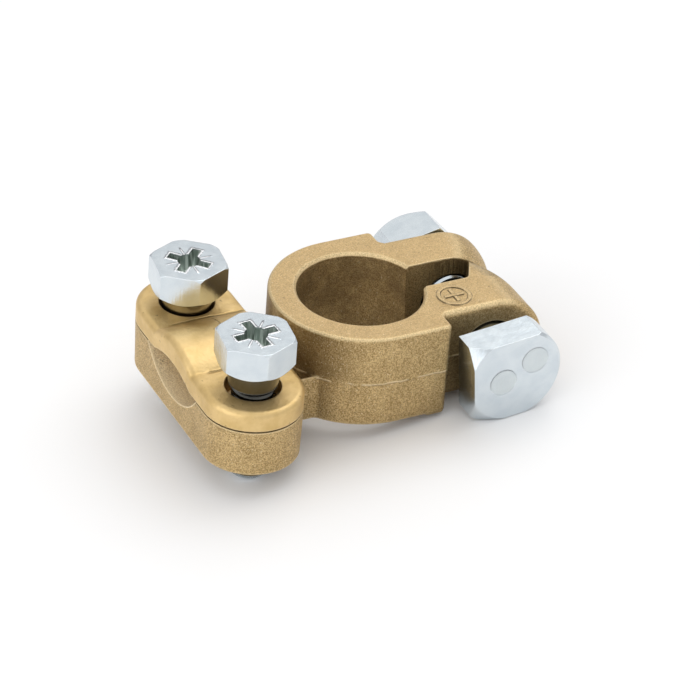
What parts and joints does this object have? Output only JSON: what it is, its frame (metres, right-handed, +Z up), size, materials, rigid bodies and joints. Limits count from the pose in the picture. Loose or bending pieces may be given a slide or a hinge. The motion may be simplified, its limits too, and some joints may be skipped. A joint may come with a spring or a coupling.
{
  "type": "battery terminal clamp",
  "caption": "Split ring battery terminal clamp in cast brass, with a clamping bolt across its ears and a screwed saddle and strap that hold a bare cable end.",
  "frame": {"origin": "on the battery post's axis, at the plane of the ring's underside", "axes": "+Z up the post, +X from the cable saddle through the ring to the ears, +Y towards the nut"},
  "size_m": [0.0538, 0.0366, 0.0244],
  "materials": {
    "cast_brass": "sand cast, tumbled",
    "pressed_brass": "satin, pressed",
    "zinc_screw_front": "bright zinc plated",
    "zinc_screw_rear": "bright zinc plated",
    "zinc_bolt": "bright zinc plated",
    "zinc_nut": "bright zinc plated"
  },
  "bodies": {
    "body": {"clamp_body": "cast_brass"},
    "strap": {"cable_strap": "pressed_brass"},
    "screw_front": {"cable_screw_front": "zinc_screw_front"},
    "screw_rear": {"cable_screw_rear": "zinc_screw_rear"},
    "bolt": {"clamp_bolt": "zinc_bolt"},
    "nut": {"clamp_nut": "zinc_nut"}
  },
  "joints": [
    {"name": "strap_lift", "type": "slide", "parent": "body", "child": "strap", "axis": [0, 0, 1], "range_m": [0, 0.0014]},
    {"name": "screw_front_turn", "type": "hinge", "parent": "body", "child": "screw_front", "pos_m": [-0.0217, -0.0111, 0.0033], "axis": [0, 0, 1], "continuous": true},
    {"name": "screw_rear_turn", "type": "hinge", "parent": "body", "child": "screw_rear", "pos_m": [-0.0217, 0.0111, 0.0033], "axis": [0, 0, 1], "continuous": true},
    {"name": "nut_turn", "type": "hinge", "parent": "body", "child": "nut", "pos_m": [0.0159, 0.0135, 0.00702], "axis": [0, 1, 0], "range_deg": [0, 864]},
    {"name": "bolt_travel", "type": "slide", "parent": "body", "child": "bolt", "axis": [0, 1, 0], "range_m": [0, 0.0031]}
  ],
  "couplings": [
    {"joint": "bolt_travel", "follows": "nut_turn", "m_per_rad": 0.00019894}
  ]
}
